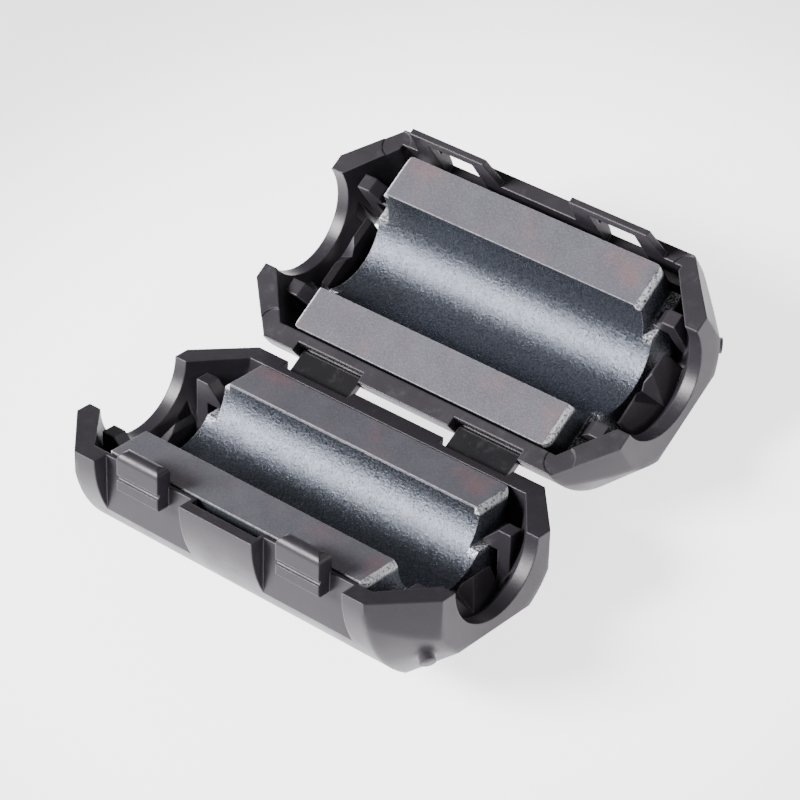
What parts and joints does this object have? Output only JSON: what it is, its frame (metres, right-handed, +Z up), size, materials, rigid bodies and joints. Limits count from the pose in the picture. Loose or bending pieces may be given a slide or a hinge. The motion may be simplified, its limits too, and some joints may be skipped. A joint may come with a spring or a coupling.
{
  "type": "clip-on ferrite bead",
  "caption": "Hinged clip-on nylon case holding a half-round ferrite core in each half, lying open; closes round a cable of up to nine millimetres.",
  "frame": {"origin": "centre of the open part's footprint, on the surface it lies on", "axes": "+X along the cable, +Y from the latch-catch half to the loop half, +Z up"},
  "size_m": [0.035, 0.0386, 0.0149],
  "materials": {
    "case": "black moulded nylon, low sheen",
    "ferrite": "sintered ferrite, ground mating faces and as-fired bore"
  },
  "bodies": {
    "lower": {"lower_shell": "case", "lower_core": "ferrite"},
    "straps": {"hinge_strap_left": "case", "hinge_strap_right": "case"},
    "upper": {"upper_shell": "case", "upper_core": "ferrite"}
  },
  "joints": [
    {"name": "lower_film", "type": "hinge", "parent": "lower", "child": "straps", "pos_m": [0, -0.00119, 0.00559], "axis": [1, 0, 0], "range_deg": [-34.5, 55.5]},
    {"name": "upper_film", "type": "hinge", "parent": "straps", "child": "upper", "pos_m": [0, 0.00093, 0.00615], "axis": [1, 0, 0], "range_deg": [-1, 89]}
  ]
}
